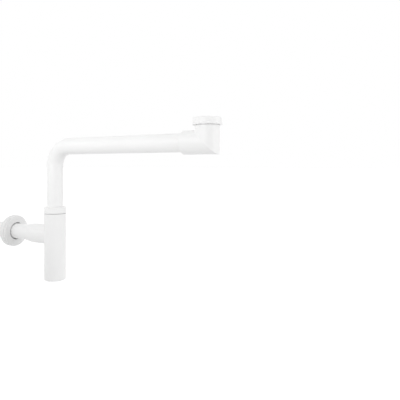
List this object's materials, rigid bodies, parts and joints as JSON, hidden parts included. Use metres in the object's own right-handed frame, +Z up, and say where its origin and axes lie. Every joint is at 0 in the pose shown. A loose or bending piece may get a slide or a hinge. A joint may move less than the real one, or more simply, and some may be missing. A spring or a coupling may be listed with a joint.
{
  "type": "basin trap",
  "caption": "White space-saving basin trap: mitred inlet elbow with union nut, long arm and bend into a dip-tube body, and a wall pipe with a round rosette.",
  "frame": {"origin": "on the wall face, on the axis of the wall pipe", "axes": "+X along the wall pipe and the arm, away from the wall; +Z up; the part is symmetrical about Y = 0"},
  "size_m": [0.5282, 0.065, 0.3045],
  "materials": {
    "white_plastic": "moulded white polypropylene, satin",
    "seal_rubber": "matt black rubber",
    "natural_plastic": "natural polyethylene"
  },
  "bodies": {
    "wall_pipe": {"wall_pipe": "white_plastic"},
    "wall_rosette": {"wall_rosette": "white_plastic"},
    "outlet_seal": {"outlet_seal": "seal_rubber"},
    "trap_body": {"trap_body": "white_plastic"},
    "body_cap": {"body_cap": "white_plastic"},
    "cap_seal": {"cap_seal": "seal_rubber", "cap_slip_ring": "natural_plastic"},
    "dip_pipe": {"dip_pipe": "white_plastic"},
    "elbow_seal": {"elbow_seal": "seal_rubber"},
    "inlet_elbow": {"inlet_elbow": "white_plastic", "basin_washer": "seal_rubber"},
    "basin_nut": {"basin_nut": "white_plastic"}
  },
  "joints": [
    {"name": "rosette_slide", "type": "slide", "parent": "wall_pipe", "child": "wall_rosette", "axis": [1, 0, 0], "range_m": [0, 0.032]},
    {"name": "outlet_slide", "type": "slide", "parent": "wall_pipe", "child": "outlet_seal", "axis": [1, 0, 0], "range_m": [-0.003, 0.015]},
    {"name": "outlet_roll", "type": "hinge", "parent": "outlet_seal", "child": "trap_body", "pos_m": [0.05, 0, 0], "axis": [1, 0, 0], "continuous": true},
    {"name": "cap_turn", "type": "hinge", "parent": "trap_body", "child": "body_cap", "pos_m": [0.124, 0, 0.05], "axis": [0, 0, 1], "continuous": true},
    {"name": "arm_swivel", "type": "hinge", "parent": "trap_body", "child": "cap_seal", "pos_m": [0.124, 0, 0.05], "axis": [0, 0, 1], "continuous": true},
    {"name": "dip_slide", "type": "slide", "parent": "cap_seal", "child": "dip_pipe", "axis": [0, 0, 1], "range_m": [-0.012, 0.06]},
    {"name": "arm_slide", "type": "slide", "parent": "dip_pipe", "child": "elbow_seal", "axis": [1, 0, 0], "range_m": [-0.003, 0.007]},
    {"name": "elbow_roll", "type": "hinge", "parent": "elbow_seal", "child": "inlet_elbow", "pos_m": [0.42, 0, 0.1765], "axis": [1, 0, 0], "continuous": true},
    {"name": "nut_turn", "type": "hinge", "parent": "inlet_elbow", "child": "basin_nut", "pos_m": [0.459, 0, 0.21], "axis": [0, 0, 1], "continuous": true}
  ]
}
